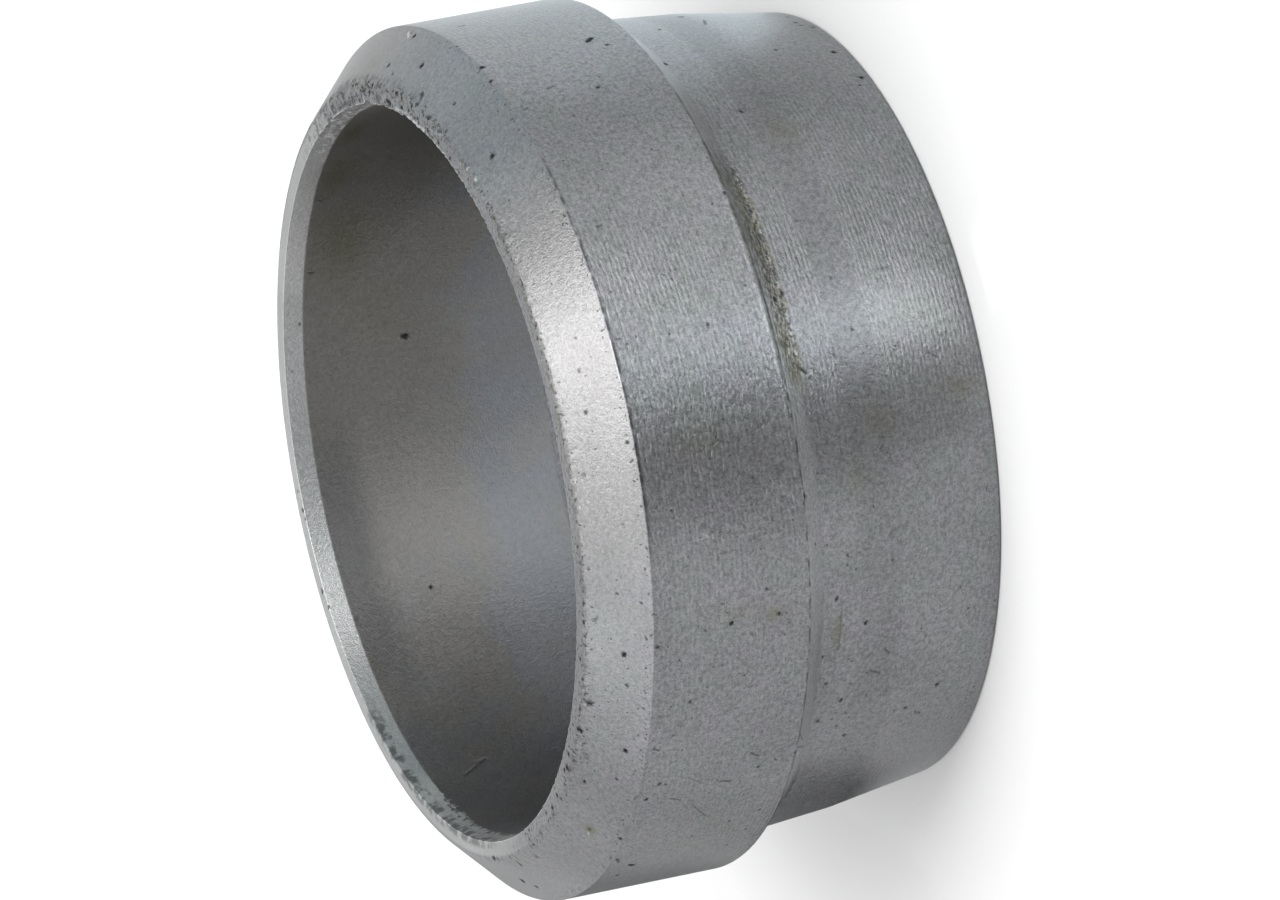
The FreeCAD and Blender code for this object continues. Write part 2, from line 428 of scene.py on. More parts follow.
# Painted shade under the shoulder's crest, and dirt at its foot: pale residue and flecks.
shaded_and_dirty_side = product(out_of_bore, towards(-20, 0.945, 0.975))
painted_shade_under_crest = product(
    band(height, foot_height - 0.05, foot_height + 0.25, crest_height - 0.02, crest_height + 0.04),
    band(lumps(0.25, detail=3.0, roughness=0.6, seed=8.0), 0.35, 0.65, low=0.3), 0.55,
)
crest_shade = product(
    band(height, crest_height - 0.2, crest_height - 0.02, crest_height + 0.03, crest_height + 0.07),
    band(lumps(0.2, detail=3.0, roughness=0.6, seed=59.0), 0.35, 0.6, low=0.5), 0.8,
)
painted_shade_under_crest = add(nodes, MATHS, LARGER, i0=painted_shade_under_crest, i1=crest_shade).outputs[0]
# Painted shade under the crest, on one side.
colour = coat(colour, "4C4D48", painted_shade_under_crest, shaded_and_dirty_side)
residue = product(
    band(height, foot_height - 0.25, foot_height - 0.13, foot_height + 0.15, crest_height - 0.07),
    band(lumps(0.3, detail=3.0, roughness=0.6, seed=61.0), 0.38, 0.56),
    out_of_bore, towards(-18, 0.95, 0.98),
)
colour = coat(colour, "84816C", residue, 0.5)
foot = band(height, foot_height - 0.25, foot_height - 0.05, foot_height + 0.35, crest_height - 0.02)
flecks = lumps(0.13, detail=4.0, roughness=0.75, seed=41.0)
colour = coat(colour, "34352E", foot, shaded_and_dirty_side, band(flecks, 0.53, 0.43), 0.8)
colour = coat(colour, "B4B6B2", foot, shaded_and_dirty_side, band(flecks, 0.54, 0.64), 0.55)

# Dark broken lines at the two edges of the collar: one along the chamfer's edge, strongest on the highlight
# side, and painted shade along the crest's edge.
edge_line = band(
    height, chamfer_height - 0.12, chamfer_height - 0.03, chamfer_height - 0.02, chamfer_height + 0.04,
)
# Painted shade along the crest's edge.
crest_shadow_line = band(
    height, crest_height - 0.12, crest_height - 0.05, crest_height - 0.02, crest_height + 0.03,
)
lines = add(nodes, MATHS, SUM, i0=product(edge_line, on_highlight_side), i1=crest_shadow_line).outputs[0]
lines = product(lines, band(lumps(0.3, seed=5.0), 0.35, 0.6), out_of_bore)
colour = coat(colour, "343538", lines, 0.8)

# The rim's outer edge is a broken dark line, blackest where it is chipped, and its face
# is blotched low on the far side.
ragged = band(lumps(0.17, detail=4.0, roughness=0.65, seed=19.0), 0.5, 0.6)
darkest = add(nodes, MATHS, SUM, i0=product(top, 0.5), i1=product(facing, 0.4)).outputs[0]
rim_dirt = add(
    nodes, MATHS, LARGER,
    i0=product(rim_edge, darkest), i1=product(on_rim, top, 0.5),
).outputs[0]
colour = coat(colour, "33342F", rim_dirt, ragged)
blotched = product(
    band(height, ring_length - 0.35, ring_length - 0.2),
    band(radius, chamfer_radius - 0.23, chamfer_radius - 0.4),
    low_side, band(lumps(0.3, seed=47.0), 0.4, 0.6),
)
colour = coat(colour, "3A3B38", blotched, 0.65)
colour = coat(colour, "242322", dirty, 0.9)
# Bright spots and burrs: painted glints.
colour = coat(colour, "D8DADA", bright, band(lumps(0.12, roughness=0.6, seed=67.0), 0.36, 0.46), 0.75)

# Gloss: duller in the pits, on the plain band and where the rim is chipped.
dull = add(nodes, MATHS, SUM, i0=product(dirty, 0.35), i1=product(plain_band, 0.04)).outputs[0]
chips = product(near_rear, band(radius, chamfer_radius + 0.3, chamfer_radius + 0.15), top, ragged, 0.3)
dull = add(nodes, MATHS, SUM, i0=dull, i1=chips).outputs[0]
roughness = add(
    nodes, MATHS, {"operation": "ADD", "use_clamp": True},
    i0=band(coarse, 0.2, 0.8, low=0.36, high=0.44), i1=dull,
).outputs[0]
around = add(nodes, "ShaderNodeTangent", {"direction_type": "RADIAL", "axis": "Z"})
finish = add(
    nodes, "ShaderNodeBsdfPrincipled",
    Base_Color=colour, Metallic=1.0, Roughness=roughness,
    Anisotropic=0.7, Anisotropic_Rotation=0.25, Tangent=around.outputs[0],
    Normal=grain.outputs[0],
)
add(nodes, "ShaderNodeOutputMaterial", Surface=finish.outputs[0])

# The turned body, swept round the axis by Geometry Nodes.
turning = bpy.data.node_groups.new("turning", "GeometryNodeTree")
sockets = turning.interface
sockets.new_socket("Geometry", in_out="INPUT", socket_type="NodeSocketGeometry")
sockets.new_socket("Steps round", in_out="INPUT", socket_type="NodeSocketInt")
sockets.new_socket("Path radius", in_out="INPUT", socket_type="NodeSocketFloat")
sockets.new_socket("Material", in_out="INPUT", socket_type="NodeSocketMaterial")
sockets.new_socket("Geometry", in_out="OUTPUT", socket_type="NodeSocketGeometry")
given = add(turning, "NodeGroupInput")
outline = add(turning, "GeometryNodeMeshToCurve", Mesh=given.outputs["Geometry"])
path = add(
    turning, "GeometryNodeCurvePrimitiveCircle", {"mode": "RADIUS"},
    Resolution=given.outputs["Steps round"], Radius=given.outputs["Path radius"],
)
upright = add(turning, "GeometryNodeSetCurveNormal", {"mode": "Z_UP"}, Curve=path.outputs["Curve"])
swept = add(
    turning, "GeometryNodeCurveToMesh",
    Curve=upright.outputs["Curve"], Profile_Curve=outline.outputs["Curve"],
)
outward = add(turning, "GeometryNodeFlipFaces", Mesh=swept.outputs["Mesh"])
smooth = add(turning, "GeometryNodeSetShadeSmooth", Geometry=outward.outputs["Mesh"])
real = add(turning, "GeometryNodeRealizeInstances", Geometry=smooth.outputs["Geometry"])
dressed = add(
    turning, "GeometryNodeSetMaterial",
    Geometry=real.outputs["Geometry"], Material=given.outputs["Material"],
)
add(turning, "NodeGroupOutput", Geometry=dressed.outputs["Geometry"])

STEPS_ROUND = 360
section = section_points(OUTSIDE + INSIDE)
outline_mesh = bpy.data.meshes.new("ring_section")
outline_mesh.from_pydata(
    [((point.x - bore_radius) * MM, -point.y * MM, 0) for point in section],
    [(k, (k + 1) % len(section)) for k in range(len(section))], [],
)
blank = bpy.data.objects.new("ring_section", outline_mesh)
bpy.context.scene.collection.objects.link(blank)
sweep = blank.modifiers.new("turning", "NODES")
sweep.node_group = turning
inputs = {"Steps round": STEPS_ROUND, "Path radius": bore_radius * MM, "Material": steel}
for item in turning.interface.items_tree:
    if item.in_out == "INPUT" and item.name in inputs:
        sweep[item.identifier] = inputs[item.name]
evaluated = blank.evaluated_get(bpy.context.evaluated_depsgraph_get())
ring_mesh = bpy.data.meshes.new_from_object(evaluated)
ring_mesh.name = "turned_ring"
bpy.data.objects.remove(blank)
ring = bpy.data.objects.new("turned_ring", ring_mesh)
bpy.context.scene.collection.objects.link(ring)
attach(ring, "root")
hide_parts(RING)

# The ring's marks
#
# Pits, nicks, scratches and dirt, where the photograph shows them, and scattered ones on
# the side it doesn't show. The mesh is refined at each, pressed in and marked for the steel.
def outside(height_at):
    """Radius of the ring's outside at that height, on the lines between the corners."""
    for (low_radius, low, _, _), (high_radius, high, _, _) in zip(OUTSIDE[1:], OUTSIDE[2:]):
        if height_at <= high:
            return low_radius + (high_radius - low_radius) * (height_at - low) / (high - low)


def on_outside(angle_at, height_at):
    """Point of the ring's outside."""
    return on_ring(angle_at, outside(height_at), height_at)


# Pits on the outside: angle, height and width of each, in degrees and mm.
PITS = [
    # the chamfer
    (-80.7, 11.73, 0.13), (-79, 11.02, 0.14), (-77.5, 11.9, 0.1), (-72, 12.1, 0.09),
    (-71.2, 11.5, 0.16), (-66.2, 11.93, 0.12), (-58.2, 11.65, 0.1), (-45, 11.64, 0.16),
    (-14, 11.5, 0.07), (-9.6, 11.6, 0.07), (-4, 11.66, 0.1), (1, 10.95, 0.1),
    (4.3, 11.93, 0.1), (21, 11.53, 0.09), (22, 11.05, 0.08), (25.4, 11.97, 0.13),
    (29.8, 11.42, 0.15), (34.4, 11.34, 0.09), (38.8, 12.06, 0.17), (44.4, 12.15, 0.15),
    (45, 11.24, 0.15), (50.6, 11.3, 0.1), (53.7, 11.9, 0.13), (61.7, 11.78, 0.06),
    (61.7, 10.87, 0.12), (63.2, 11.48, 0.09), (76.4, 12.2, 0.07), (79, 11.96, 0.09),
    (86, 12.0, 0.14), (90.7, 11.3, 0.13), (92.9, 11.5, 0.19),
    # the collar
    (-66.7, 10.82, 0.07), (-59.2, 10.77, 0.15), (-55.6, 10.84, 0.11), (-45.4, 9.35, 0.09),
    (-23, 9.6, 0.08), (-18.3, 10.42, 0.08), (-11.2, 10.4, 0.08), (-50, 8.23, 0.12),
    (-59.2, 7.13, 0.11), (-11.7, 8.04, 0.1), (-15.8, 6.73, 0.08), (10.4, 10.08, 0.08),
    (28, 10.7, 0.1), (27, 9.33, 0.08), (37, 9.7, 0.1), (26.7, 8.57, 0.13),
    (28.8, 7.98, 0.08), (23, 7.55, 0.1), (26.7, 7.2, 0.11), (42, 10.1, 0.08),
    (53, 10.53, 0.12), (50.4, 10.25, 0.1), (50.8, 10.05, 0.08), (64.6, 8.65, 0.07),
    (66, 6.98, 0.09), (61, 6.85, 0.09), (51, 7.35, 0.1), (70.4, 7.28, 0.08),
    (62.5, 7.65, 0.09), (74, 10.25, 0.12), (32.5, 8.82, 0.08),
    # the shoulder
    (-58, 5.5, 0.13), (-28.8, 6.36, 0.1), (-27.5, 5.5, 0.12), (-14, 5.8, 0.16),
    (-15, 5.45, 0.1), (12, 6.22, 0.16), (10, 5.5, 0.08), (19, 5.9, 0.09),
    (37, 5.5, 0.11), (40.8, 5.52, 0.08), (43.8, 5.6, 0.09), (49.6, 6.3, 0.1), (53.4, 6.2, 0.12),
    # the neck and nose
    (-71, 4.55, 0.1), (-45, 4.4, 0.12), (-78.5, 3.3, 0.16), (-59.6, 2.1, 0.1),
    (-25, 4.35, 0.08), (-19.6, 4.7, 0.09), (-16, 3.9, 0.09), (-8.3, 3.7, 0.09),
    (-9, 1.5, 0.08), (-5.8, 0.95, 0.08), (22.3, 4.8, 0.1), (28.3, 5.15, 0.11),
    (33.3, 4.23, 0.13), (42, 5.3, 0.11), (42, 4.05, 0.08), (43.3, 4.5, 0.08),
    (46, 4.73, 0.12), (46.3, 3.95, 0.08), (48.8, 5.35, 0.1), (48.8, 4.5, 0.09),
    (51, 4.7, 0.09), (53.8, 4.35, 0.11), (24.6, 3.45, 0.07), (36.7, 2.48, 0.08),
    (51.7, 2.55, 0.11), (48.8, 1.67, 0.12), (46.8, 1.75, 0.07), (38.8, 1.17, 0.07),
    (-71.3, 0.53, 0.12), (-69.6, 0.5, 0.1), (-68.3, 0.25, 0.09), (-65, 0.3, 0.08),
    (-58.3, 0.5, 0.15), (-50.8, 0.3, 0.14), (-48.8, 0.52, 0.09), (-75.5, 0.4, 0.1),
]
# Scratches on the outside: angle and height of each end, and width.
SCRATCHES = [
    (-12, 10.52, -12, 10.7, 0.06), (-27.5, 10.03, -27.4, 10.16, 0.07), (-48.4, 10.42, -48.2, 10.55, 0.06),
    (-51.9, 9.33, -51.5, 9.58, 0.06), (-61.7, 7.36, -61, 7.54, 0.13), (-75.2, 9.85, -74.8, 10.05, 0.06),
    (2.8, 8.45, 3.4, 8.7, 0.06), (43.6, 10.63, 44.1, 10.47, 0.07), (53.8, 9.82, 54.7, 9.45, 0.05),
    (50.4, 9.4, 51.9, 8.95, 0.04), (56.7, 9.0, 60, 8.45, 0.05), (52.7, 8.1, 52.4, 8.4, 0.07),
    (47.9, 7.68, 48.8, 7.42, 0.07), (67.2, 10.68, 68.4, 10.58, 0.09), (70.4, 10.12, 70.9, 10.0, 0.12),
    (47.5, 11.97, 49.6, 11.94, 0.07), (-73.8, 3.0, -71.5, 3.15, 0.07), (-5.7, 4.52, -5.1, 4.38, 0.06),
    (30.6, 5.02, 36.6, 5.03, 0.05), (41.8, 3.95, 42.6, 3.68, 0.07), (22, 4.12, 22.2, 4.5, 0.04),
    (38.6, 3.58, 39.4, 3.42, 0.06), (8.1, 3.45, 8.6, 3.58, 0.05), (-3.3, 1.62, -2.5, 1.4, 0.06),
    (-16.4, 2.1, -16.1, 2.55, 0.05), (53.2, 2.2, 54.2, 2.0, 0.06), (-3.6, 5.35, -5, 5.6, 0.09),
    (49, 6.25, 53, 5.65, 0.05), (46.5, 6.25, 49.5, 5.95, 0.06), (-33, 6.15, -31, 6.3, 0.05),
    (17, 8.3, 17.1, 8.9, 0.03), (45, 8.2, 45.6, 8.6, 0.03), (20, 2.9, 20.3, 3.4, 0.03),
]
# Bright spots and burrs on the outside, painted pale where they catch the light: angle and height of each
# end, and width.
BRIGHT = [
    (24.1, 2.37, 24.3, 2.37, 0.05), (29, 1.72, 29, 1.72, 0.05), (16.2, 2.07, 18.2, 2.12, 0.03),
    (14.2, 9.25, 15, 8.95, 0.04), (11.6, 9.2, 12.6, 9.0, 0.03), (-81.5, 10.98, -80.5, 11.08, 0.08),
    (64.1, 11.48, 64.5, 11.45, 0.06), (51.3, 6.1, 51.9, 6.0, 0.08), (-12, 10.83, -6, 10.83, 0.03),
    (14.8, 9.6, 14.8, 9.1, 0.03), (31.5, 4.93, 35.5, 4.95, 0.03),
]
# Pits in the bore, then scratches there, as on the outside.
BORE_PITS = [
    (202.5, 8.62, 0.2), (161.9, 9.18, 0.13), (217, 11.45, 0.12), (232, 11.45, 0.12),
    (208, 11.75, 0.1), (174.6, 11.5, 0.08), (159, 11.6, 0.08), (242.5, 9.75, 0.09),
    (200, 12.0, 0.12), (191, 11.95, 0.07), (163, 12.0, 0.1), (169, 12.05, 0.09),
    (176, 11.9, 0.08), (156, 12.0, 0.08), (147, 12.05, 0.1), (140, 11.95, 0.09),
]
BORE_SCRATCHES = [
    (123.8, 10.7, 127, 9.87, 0.1), (161, 11.0, 161.3, 11.25, 0.05), (231.8, 11.3, 232, 11.65, 0.05),
    (202.3, 8.5, 202.7, 8.75, 0.09), (126.5, 10.2, 126.9, 9.95, 0.07),
]
# Pits on the rim round the bore: angle, radius and width.
RIM_PITS = [
    (-97, 10.65, 0.14), (-88, 10.25, 0.09), (-83.6, 10.6, 0.11), (-81.5, 10.3, 0.09),
    (-74.3, 10.5, 0.13), (-72, 10.65, 0.09), (-67.9, 10.42, 0.13), (-66.8, 10.55, 0.14),
    (-62.5, 10.6, 0.07), (-59, 10.22, 0.1), (-45.4, 10.5, 0.1), (-10.3, 10.7, 0.1),
    (7.7, 10.35, 0.1), (14.6, 10.5, 0.11), (17, 10.54, 0.09), (23, 10.61, 0.11),
    (26, 10.6, 0.13), (29, 10.5, 0.1), (32.5, 10.42, 0.12), (35.4, 10.6, 0.1),
    (38.6, 10.72, 0.14), (40.7, 10.6, 0.1), (44.4, 10.62, 0.13), (44.8, 10.35, 0.09),
    (50.7, 10.42, 0.14), (53.2, 10.5, 0.2), (54.4, 10.4, 0.13), (60.4, 10.47, 0.12),
    (63.8, 10.49, 0.12), (66.8, 10.37, 0.1), (76.4, 10.5, 0.1), (92.9, 10.62, 0.14),
    (9, 10.62, 0.07), (11, 10.6, 0.08), (4.3, 10.6, 0.06), (-76, 10.32, 0.16), (-70.5, 10.34, 0.18),
    (-64.5, 10.33, 0.17), (-60.5, 10.33, 0.14), (-56.5, 10.3, 0.13), (-52, 10.3, 0.1),
    (-48.5, 10.22, 0.1), (-43, 10.25, 0.09), (-38, 10.22, 0.08), (165, 10.3, 0.16), (162, 10.2, 0.12),
    (178, 10.25, 0.16), (176.5, 10.2, 0.1), (181, 10.35, 0.1),
]
# Burrs along the bore's mouth, painted pale where they catch the light: angle of each end, radius and
# width.
RIM_BURRS = [
    (-73, -69, 10.25, 0.12), (-68, -62, 10.2, 0.14), (-61, -56, 10.17, 0.11), (-55, -48, 10.16, 0.1),
    (-47.5, -42, 10.15, 0.09), (-41, -35, 10.15, 0.08), (-33, -29, 10.14, 0.07), (-26, -20, 10.14, 0.06),
]
# Olive and brown stains: angle, height, how far they reach round and along, strength.
STAINS = [
    (222, 10.6, 1.4, 0.9, 0.5), (238, 11.2, 0.9, 0.5, 0.5), (251, 11.25, 0.6, 0.35, 0.7),
    (208, 9.6, 1.2, 1.2, 0.15), (4.5, 3.5, 0.5, 0.45, 0.3),
    (3, 9.2, 0.45, 1.0, 0.18), (26.5, 7.35, 0.25, 0.3, 0.4), (25.5, 8.4, 0.15, 0.6, 0.2),
    (-40, 3.6, 0.6, 0.6, 0.25), (33.5, 5.1, 0.5, 0.15, 0.4), (-3.8, 5.8, 0.2, 0.45, 0.8),
    (-8.5, 5.95, 0.25, 0.4, 0.6), (2, 0.9, 0.3, 0.7, 0.3), (12, 4.3, 0.5, 0.3, 0.2),
    (63.2, 11.48, 0.2, 0.15, 0.7), (26, 10.65, 0.15, 0.15, 0.5), (-87, 11.75, 0.5, 0.3, 0.3),
]

# Each mark as the points it runs between, its width and its kind. A pit starts where it ends.
marks = []
for angle_at, height_at, width in PITS:
    at = on_outside(angle_at, height_at)
    marks.append((at, at, width, "dirt"))
for kind, rows in (("dirt", SCRATCHES), ("bright", BRIGHT)):
    for first_angle, first_height, last_angle, last_height, width in rows:
        start = on_outside(first_angle, first_height)
        marks.append((start, on_outside(last_angle, last_height), width, kind))
for angle_at, height_at, width in BORE_PITS:
    at = on_ring(angle_at, bore_radius, height_at)
    marks.append((at, at, width, "dirt"))
for first_angle, first_height, last_angle, last_height, width in BORE_SCRATCHES:
    start = on_ring(first_angle, bore_radius, first_height)
    marks.append((start, on_ring(last_angle, bore_radius, last_height), width, "dirt"))
for angle_at, radius_at, width in RIM_PITS:
    at = on_ring(angle_at, radius_at, ring_length)
    marks.append((at, at, width, "dirt"))
burr_height = ring_length - 0.05
for first_angle, last_angle, radius_at, width in RIM_BURRS:
    start = on_ring(first_angle, radius_at, burr_height)
    marks.append((start, on_ring(last_angle, radius_at, burr_height), width, "bright"))

# Pits scattered over the side that the photograph doesn't show.
HIDDEN_PITS = 50
HIDDEN_HEIGHTS = (0.3, ring_length - 0.2)
HIDDEN_ANGLES = (97, 258)
HIDDEN_WIDTHS = (0.07, 0.18)
rng = random.Random(4)
for _ in range(HIDDEN_PITS):
    height_at = rng.uniform(*HIDDEN_HEIGHTS)
    at = on_outside(rng.uniform(*HIDDEN_ANGLES), height_at)
    marks.append((at, at, rng.uniform(*HIDDEN_WIDTHS), "dirt"))


def near(tree, start, end, reach):
    """Vertices within reach of the line between two points."""
    pieces = max(1, math.ceil((end - start).length / reach))
    found = set()
    for step in range(pieces + 1):
        found.update(index for _, index, _ in tree.find_range(start.lerp(end, step / pieces), reach))
    return found


def searchable(vertices):
    """Search tree of a mesh's vertices."""
    tree = KDTree(len(vertices))
    for vertex in vertices:
        tree.insert(vertex.co, vertex.index)
    tree.balance()
    return tree


# Reach of the bore's mouth down the bore and across the rim, in mm, and the difference in
# metres that still counts as level.
MOUTH_DEPTH = 0.62
MOUTH_WIDTH = 0.8
LEVEL = 1e-6


def round_the_mouth(edge):
    """Whether an edge lies at the bore's mouth and runs level round the ring."""
    (first_radius, first_height), (last_radius, last_height) = [
        (vertex.co.xy.length, vertex.co.z) for vertex in edge.verts
    ]
    return (
        min(first_height, last_height) > (ring_length - MOUTH_DEPTH) * MM
        and max(first_radius, last_radius) < (bore_radius + MOUTH_WIDTH) * MM
        and abs(first_height - last_height) < LEVEL
        and abs(first_radius - last_radius) < LEVEL
    )


# Finer faces round the bore's mouth, then at each mark, in four passes that close in on it.
FINE_EDGE = 0.05
MARGINS = (0.4, 0.2, 0.09, 0.03)
shape = bmesh.new()
shape.from_mesh(ring_mesh)
mouth_edges = [edge for edge in shape.edges if round_the_mouth(edge)]
bmesh.ops.subdivide_edges(shape, edges=mouth_edges, cuts=1, use_grid_fill=True)
for margin in MARGINS:
    shape.verts.index_update()
    shape.verts.ensure_lookup_table()
    tree = searchable(shape.verts)
    chosen = set()
    for start, end, width, _ in marks:
        chosen |= near(tree, start, end, (width / 2 + margin) * MM)
    edges_there = [
        edge for edge in shape.edges
        if all(corner.index in chosen for corner in edge.verts)
        and edge.calc_length() > FINE_EDGE * MM
    ]
    bmesh.ops.subdivide_edges(shape, edges=edges_there, cuts=1, use_grid_fill=True)
shape.to_mesh(ring_mesh)
shape.free()

# How far each vertex is pressed in. The rim round the bore is lumpy, most on its upper
# side in the photograph and hardly on the far side, and chipped round the uppermost place.
LUMP_SIZE = 0.13
UPPER_LUMPS = 0.035
NEAR_LUMPS = 0.02
FAR_LUMPS = 0.003
UPPER_SIDE_TO = -30
FAR_SIDE_FROM = 100
CHIP_SIZE = 0.32
CHIP_DEPTH = 0.17
CHIPS_SPARED = 0.05
CHIPPED_AT = -85
CHIPPED_REACH = 32
RIM_WIDTH = 1.0
RIM_DEPTH = 0.3
FADE_DOWN = 0.2
FADE_OUT = 0.3
pressed = {}
for vertex in ring_mesh.vertices:
    x, y, z = vertex.co / MM
    from_axis = math.hypot(x, y)
    if z < ring_length - RIM_DEPTH or from_axis > bore_radius + RIM_WIDTH:
        continue
    angle_at = math.degrees(math.atan2(-x, -y))
    chipped = max(0, 1 - (abs(angle_at - CHIPPED_AT) / CHIPPED_REACH) ** 4)
    lump = noise_at(vertex.co / (LUMP_SIZE * MM))
    chip = max(0, noise_at(vertex.co / (CHIP_SIZE * MM)) - CHIPS_SPARED)
    if abs(angle_at) > FAR_SIDE_FROM:
        lump_depth = FAR_LUMPS
    elif angle_at < UPPER_SIDE_TO:
        lump_depth = UPPER_LUMPS
    else:
        lump_depth = NEAR_LUMPS
    depth = lump_depth * lump + chipped * CHIP_DEPTH * chip
    faded_down = min(1, (z - ring_length + RIM_DEPTH) / FADE_DOWN)
    faded_out = min(1, (bore_radius + RIM_WIDTH - from_axis) / FADE_OUT)
    pressed[vertex.index] = depth * faded_down * faded_out * MM

# Each mark is pressed in with a ragged edge, a fifth as deep as it is wide. A narrow mark
# is fainter. Its reach is measured in half its width.
PRESS = 0.2
EDGE_SIZE = 0.06
EDGE_RAGGED = 0.5
REACH = 1.25
SEARCH_REACH = 1.6
FILL = 1.5
FULL_WIDTH = {"dirt": 0.13, "bright": 0.1}
tree = searchable(ring_mesh.vertices)
strength = {"dirt": {}, "bright": {}, "stain": {}}
for start, end, width, kind in marks:
    half_width = width / 2 * MM
    for index in near(tree, start, end, half_width * SEARCH_REACH):
        vertex = ring_mesh.vertices[index]
        share = intersect_point_line(vertex.co, start, end)[1] if end != start else 0
        closest = start.lerp(end, min(1, max(0, share)))
        torn = 1 + EDGE_RAGGED * noise_at(vertex.co / (EDGE_SIZE * MM))
        away = (vertex.co - closest).length / half_width * torn
        inside = max(0, 1 - (away / REACH) ** 2)
        if kind == "dirt":
            pressed[index] = pressed.get(index, 0) + inside ** 2 * width * PRESS * MM
        amount = min(1, inside * FILL) * min(1, width / FULL_WIDTH[kind])
        strength[kind][index] = max(strength[kind].get(index, 0), amount)
normals = [normal.vector.copy() for normal in ring_mesh.vertex_normals]
for index, depth in pressed.items():
    ring_mesh.vertices[index].co -= normals[index] * depth

# Stains, soft and wide. Those past BORE_FROM, in degrees, are in the bore and stay off the
# rim and the outside.
BORE_FROM = 95
for angle_at, height_at, reach_round, reach_along, amount in STAINS:
    in_the_bore = angle_at > BORE_FROM
    radius_at = bore_radius if in_the_bore else outside(height_at)
    centre = on_ring(angle_at, radius_at, height_at)
    for index in near(tree, centre, centre, 2 * max(reach_round, reach_along) * MM):
        at = ring_mesh.vertices[index].co
        if in_the_bore and at.xy.length > (lead_in_radius + 0.02) * MM:
            continue
        offset = at - centre
        away = math.hypot(offset.xy.length / reach_round, offset.z / reach_along) / MM
        faded = amount * math.exp(-away * away)
        strength["stain"][index] = max(strength["stain"].get(index, 0), faded)

for name, values in strength.items():
    field = ring_mesh.attributes.new(name, "FLOAT", "POINT")
    for index, value in values.items():
        field.data[index].value = value

# The table
#
# A plain table top of white card, 4 m wide. It is only stage: the ring stands on it and
# throws its shadow there.
HALF_WIDTH = 2.0
floor_mesh = bpy.data.meshes.new("floor")
floor_mesh.from_pydata(
    [(x * HALF_WIDTH, y * HALF_WIDTH, 0) for x, y in ((-1, -1), (1, -1), (1, 1), (-1, 1))],
    [], [(0, 1, 2, 3)],
)
floor = bpy.data.objects.new("floor", floor_mesh)
bpy.context.scene.collection.objects.link(floor)
white = bpy.data.materials.new("white_card")
white.use_nodes = True
white.node_tree.nodes["Principled BSDF"].inputs["Base Color"].default_value = linear("D4D4D4")
white.node_tree.nodes["Principled BSDF"].inputs["Roughness"].default_value = 0.9
floor_mesh.materials.append(white)

# Light
#
# Two strip softboxes one above the other beside the camera, towards +X, a lamp high above
# them and a broad dim one overhead, in a white room. Azimuth 0 is the camera's side, and
# lamps are measured in metres.
def softbox(name, azimuth, elevation, distance, width, height, radiance, colour=(1, 1, 1)):
    """Rectangular lamp that faces the ring."""
    a, e = math.radians(azimuth), math.radians(elevation)
    away = Vector((-math.sin(a) * math.cos(e), -math.cos(a) * math.cos(e), math.sin(e)))
    centre = Vector((0, 0, ring_length * MM / 2))
    lamp = bpy.data.lights.new(name, "AREA")
    lamp.shape = "RECTANGLE"
    lamp.size = width
    lamp.size_y = height
    lamp.energy = radiance * math.pi * width * height
    lamp.color = colour
    holder = bpy.data.objects.new(name, lamp)
    facing_ring = away.to_track_quat("Z", "Y").to_matrix().to_4x4()
    holder.matrix_world = Matrix.Translation(centre + away * distance) @ facing_ring
    bpy.context.scene.collection.objects.link(holder)


softbox(
    "strip", azimuth=-33, elevation=37, distance=0.6, width=0.24, height=0.42,
    radiance=3.6, colour=(1, 1, 0.985),
)
softbox("low_strip", azimuth=-34, elevation=15, distance=0.6, width=0.2, height=0.18, radiance=1.2)
softbox(
    "top", azimuth=-36, elevation=66, distance=0.6, width=0.36, height=0.22,
    radiance=6.2, colour=(0.99, 1, 1),
)
softbox("overhead", azimuth=60, elevation=60, distance=1.0, width=1.0, height=1.0, radiance=1.15)


# Steel shows what stands round it, so cards glow on the table where it shows a lighter or
# a darker surrounding in the photograph.
def reflected_card(name, corners, radiance, turn=None, colour=(1, 1, 1, 1)):
    """Flat card on the table, in mm, that only the steel's reflections see."""
    mesh = bpy.data.meshes.new(name)
    above_table = 0.05 * MM
    mesh.from_pydata([(x * MM, y * MM, above_table) for x, y in corners], [], [range(len(corners))])
    mesh.transform(turn or Matrix())
    glow = bpy.data.materials.new(name)
    glow.use_nodes = True
    shader = glow.node_tree.nodes["Principled BSDF"]
    shader.inputs["Base Color"].default_value = (0, 0, 0, 1)
    shader.inputs["Specular IOR Level"].default_value = 0
    shader.inputs["Emission Color"].default_value = colour
    shader.inputs["Emission Strength"].default_value = radiance
    mesh.materials.append(glow)
    card = bpy.data.objects.new(name, mesh)
    bpy.context.scene.collection.objects.link(card)
    card.visible_camera = False
    card.visible_diffuse = False
    card.visible_shadow = False


COOL = (0.9, 1.0, 1.04, 1)
PALE_BLUE = (0.95, 1, 1.03, 1)

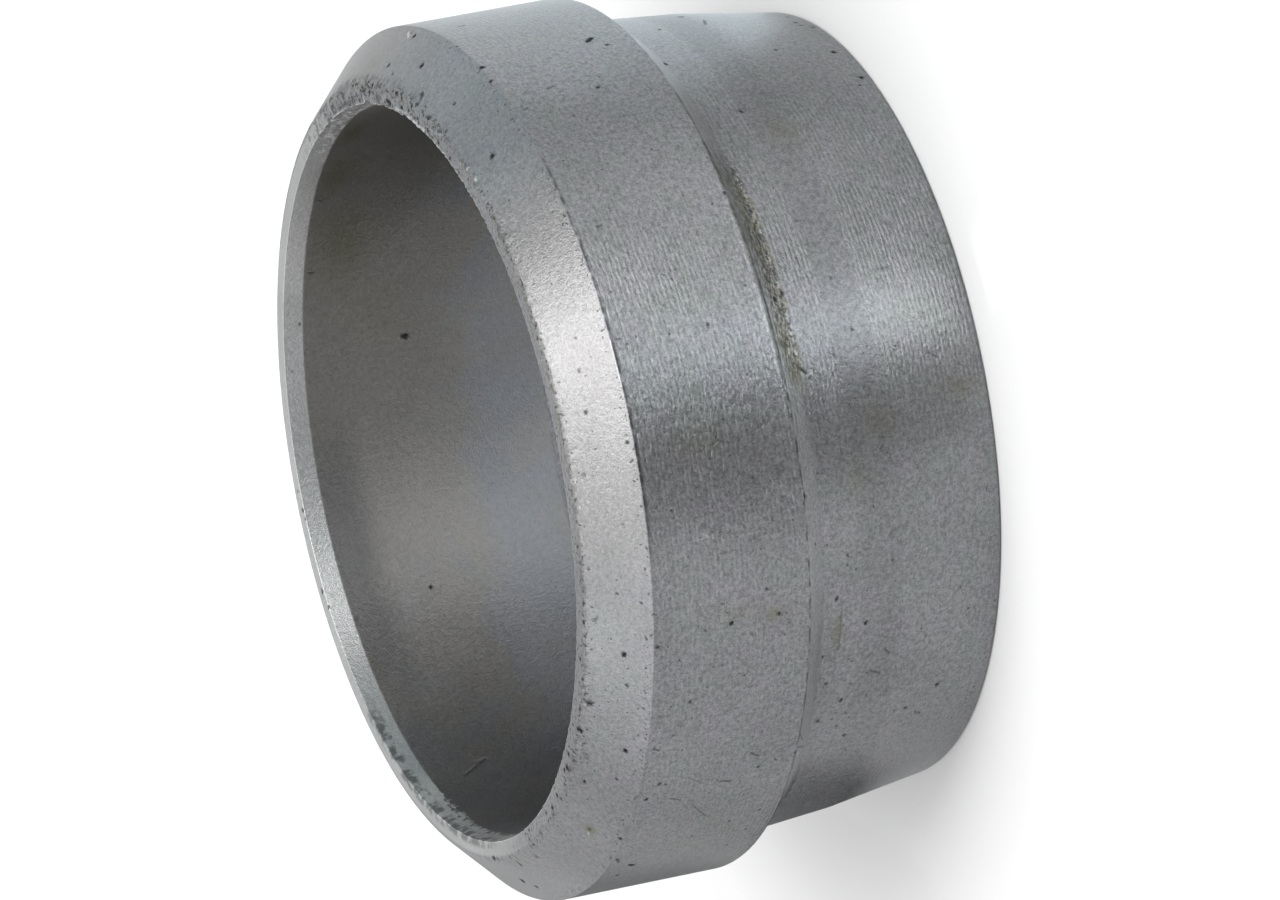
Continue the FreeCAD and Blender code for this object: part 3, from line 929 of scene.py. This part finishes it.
# On the camera's side of the ring.
reflected_card("near_wedge", [(0.6, -11.6), (-2.0, -11.4), (-7, -22), (2.8, -22)], radiance=0.6)
reflected_card("far_wedge", [(5.4, -24), (-11, -24), (-33, -80), (13.5, -80)], radiance=0.19)
reflected_card("far_dim", [(5.6, -24), (13.8, -80), (26, -80), (10, -24)], radiance=0.44)
standing = Matrix.Translation((0, -80 * MM, 0)) @ Matrix.Rotation(math.pi / 2, 4, "X")
reflected_card(
    "standing_card", [(-33, 0), (5, 0), (4, 45), (-33, 45)], radiance=0.2, turn=standing,
)
reflected_card(
    "bright_near", [(1.2, -11.7), (1.6, -13), (4.4, -12.8), (3.4, -11.2)], radiance=2.6,
)
reflected_card(
    "bright_far", [(2.4, -17.2), (2.8, -20.6), (7.2, -20), (5.6, -16.8)], radiance=9.5, colour=COOL,
)

# Towards +X, then away from it.
reflected_card(
    "dim_wedge", [(9, -8), (22, -14), (60, -10), (60, 0), (20, -3), (11, -4)], radiance=0.72,
)
reflected_card(
    "bright_side", [(11.3, -2), (26, -2), (28, 26), (8, 26), (11, 6)], radiance=1.5, colour=COOL,
)
reflected_card("side_near", [
    (-12.6, 2), (-13.5, 0), (-20, -1), (-21, 9), (-14, 13.3),
    (-10, 18), (-3, 24), (-3, 12), (-8, 9.6), (-11.3, 6),
], radiance=0.02)
reflected_card(
    "side_far", [(-20.5, -1.2), (-60, -12), (-60, 40), (-19, 12.5), (-21.5, 9)], radiance=0.85,
)
reflected_card("side_back", [
    (-18.5, 13), (-60, 41), (-60, 80), (-3, 80), (-3, 25), (-10, 18.5), (-14, 13.8),
], radiance=0.2)
reflected_card("low_near", [
    (-12.6, -5), (-11, -9), (-16, -24), (-26, -18), (-24.5, -2.5), (-13, -1.5),
], radiance=0.78)
reflected_card("low_far", [
    (-17, -25), (-34, -80), (-60, -60), (-60, -12.5), (-25, -2.7), (-27, -18),
], radiance=0.92)

# Inside the ring, and a large sheet that stands 0.4 m away towards +X.
reflected_card("bore_wedge", [(-1.5, 8), (2.0, -9), (6.6, -6.6)], radiance=2.5, colour=PALE_BLUE)
wall = Matrix.Translation((0.4, 0, 0)) @ Matrix.Rotation(math.pi / 2, 4, "Y")
reflected_card(
    "cool_sheet", [(-500, -100), (-500, 500), (0, 500), (0, -100)],
    radiance=1.05, turn=wall, colour=COOL,
)

world = bpy.data.worlds.new("studio")
world.use_nodes = True
world.node_tree.nodes["Background"].inputs["Color"].default_value = (1, 1, 1, 1)
world.node_tree.nodes["Background"].inputs["Strength"].default_value = 1.0
bpy.context.scene.world = world

# The camera
#
# Where the photograph was taken from: a long lens, 21 degrees above the table and turned
# on its side, because the ring lies on its side in the picture.
camera_data = bpy.data.cameras.new("camera")
camera_data.sensor_width = 36
camera_data.lens = 371.7
camera_data.clip_start = 0.01
camera_data.clip_end = 10
camera = bpy.data.objects.new("camera", camera_data)
elevation = math.radians(21.31)
heading = math.radians(0.08)
roll = math.radians(-100.95)
distance = 359.9 * MM
aim = Vector((-0.477, -0.039, 6.011)) * MM
turned = (
    Matrix.Rotation(heading, 4, "Z")
    @ Matrix.Rotation(math.pi / 2 - elevation, 4, "X")
    @ Matrix.Rotation(roll, 4, "Z")
)
camera.matrix_world = Matrix.Translation(aim) @ turned @ Matrix.Translation((0, 0, distance))
bpy.context.scene.collection.objects.link(camera)
bpy.context.scene.camera = camera
bpy.context.scene.view_settings.view_transform = "Standard"
